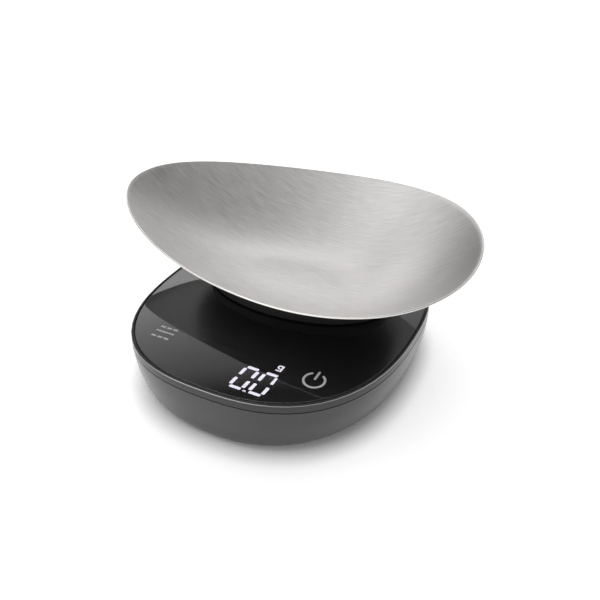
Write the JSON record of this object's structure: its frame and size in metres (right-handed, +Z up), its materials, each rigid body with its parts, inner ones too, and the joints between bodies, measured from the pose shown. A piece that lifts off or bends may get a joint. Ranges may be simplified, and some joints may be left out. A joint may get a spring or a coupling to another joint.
{
  "type": "digital scale",
  "caption": "Low digital scale: pebble base with a black glass top, lit display and touch keys, and an oval steel weighing dish that lifts off.",
  "frame": {"origin": "middle of the glass-topped base, on the surface that the four feet stand on", "axes": "+X to the user's right, along the dish's length; +Y away from the user, from the display towards the dish; +Z up"},
  "size_m": [0.1772, 0.1345, 0.0667],
  "materials": {
    "housing_plastic": "glossy",
    "black_glass": "polished, dark tint",
    "glass_print": "screen-printed ink",
    "adhesive_tape": "matte",
    "foot_rubber": "matte",
    "screw_steel": "zinc plated",
    "door_plastic": "fine texture",
    "battery_jacket": "satin sleeve",
    "contact_metal": "nickel plated",
    "lead_black": "satin",
    "lead_red": "satin",
    "cell_aluminium": "milled",
    "gauge_silicone": "soft sealant",
    "cap_plastic": "satin",
    "circuit_board": "solder mask",
    "chip_plastic": "moulded",
    "part_ceramic": "matte",
    "socket_plastic": "moulded",
    "display_plastic": "matte",
    "lit_segment": "glowing diffuser",
    "dark_segment": "unlit diffuser",
    "foam_gasket": "foam",
    "dish_steel": "brushed, polished edge"
  },
  "bodies": {
    "base": {"lower_housing": "housing_plastic", "upper_housing": "housing_plastic", "glass_top": "black_glass", "printed_marks": "glass_print", "glass_adhesive": "adhesive_tape", "rubber_feet": "foot_rubber", "housing_screws": "screw_steel", "batteries": "battery_jacket", "battery_springs": "contact_metal", "battery_contacts": "contact_metal", "battery_leads": "lead_black", "load_cell": "cell_aluminium", "gauge_sealant": "gauge_silicone", "fixed_spacer": "cell_aluminium", "fixed_screws": "screw_steel", "overload_stop": "screw_steel", "load_cell_leads": "lead_red", "main_board": "circuit_board", "board_screws": "screw_steel", "microcontroller": "chip_plastic", "converter_chip": "chip_plastic", "board_parts": "part_ceramic", "wire_sockets": "socket_plastic", "touch_springs": "contact_metal", "display_module": "display_plastic", "lit_segments": "lit_segment", "dark_segments": "dark_segment", "display_gasket": "foam_gasket"},
    "platform": {"free_spacer": "cell_aluminium", "free_screws": "screw_steel", "platform_carrier": "cell_aluminium", "platform_cap": "cap_plastic"},
    "dish": {"weighing_dish": "dish_steel"},
    "door": {"battery_door": "door_plastic"}
  },
  "joints": [
    {"name": "platform_press", "type": "slide", "parent": "base", "child": "platform", "axis": [0, 0, -1], "range_m": [0, 0.0005], "stiffness_N_per_m": 24500, "springref_m": -0.00006, "deforming": ["load_cell"]},
    {"name": "dish_lift", "type": "slide", "parent": "platform", "child": "dish", "axis": [0, 0, 1], "range_m": [0, 0.12]},
    {"name": "battery_door", "type": "hinge", "parent": "base", "child": "door", "pos_m": [0, 0.0199, 0.001], "axis": [-1, 0, 0], "range_deg": [0, 60]}
  ]
}
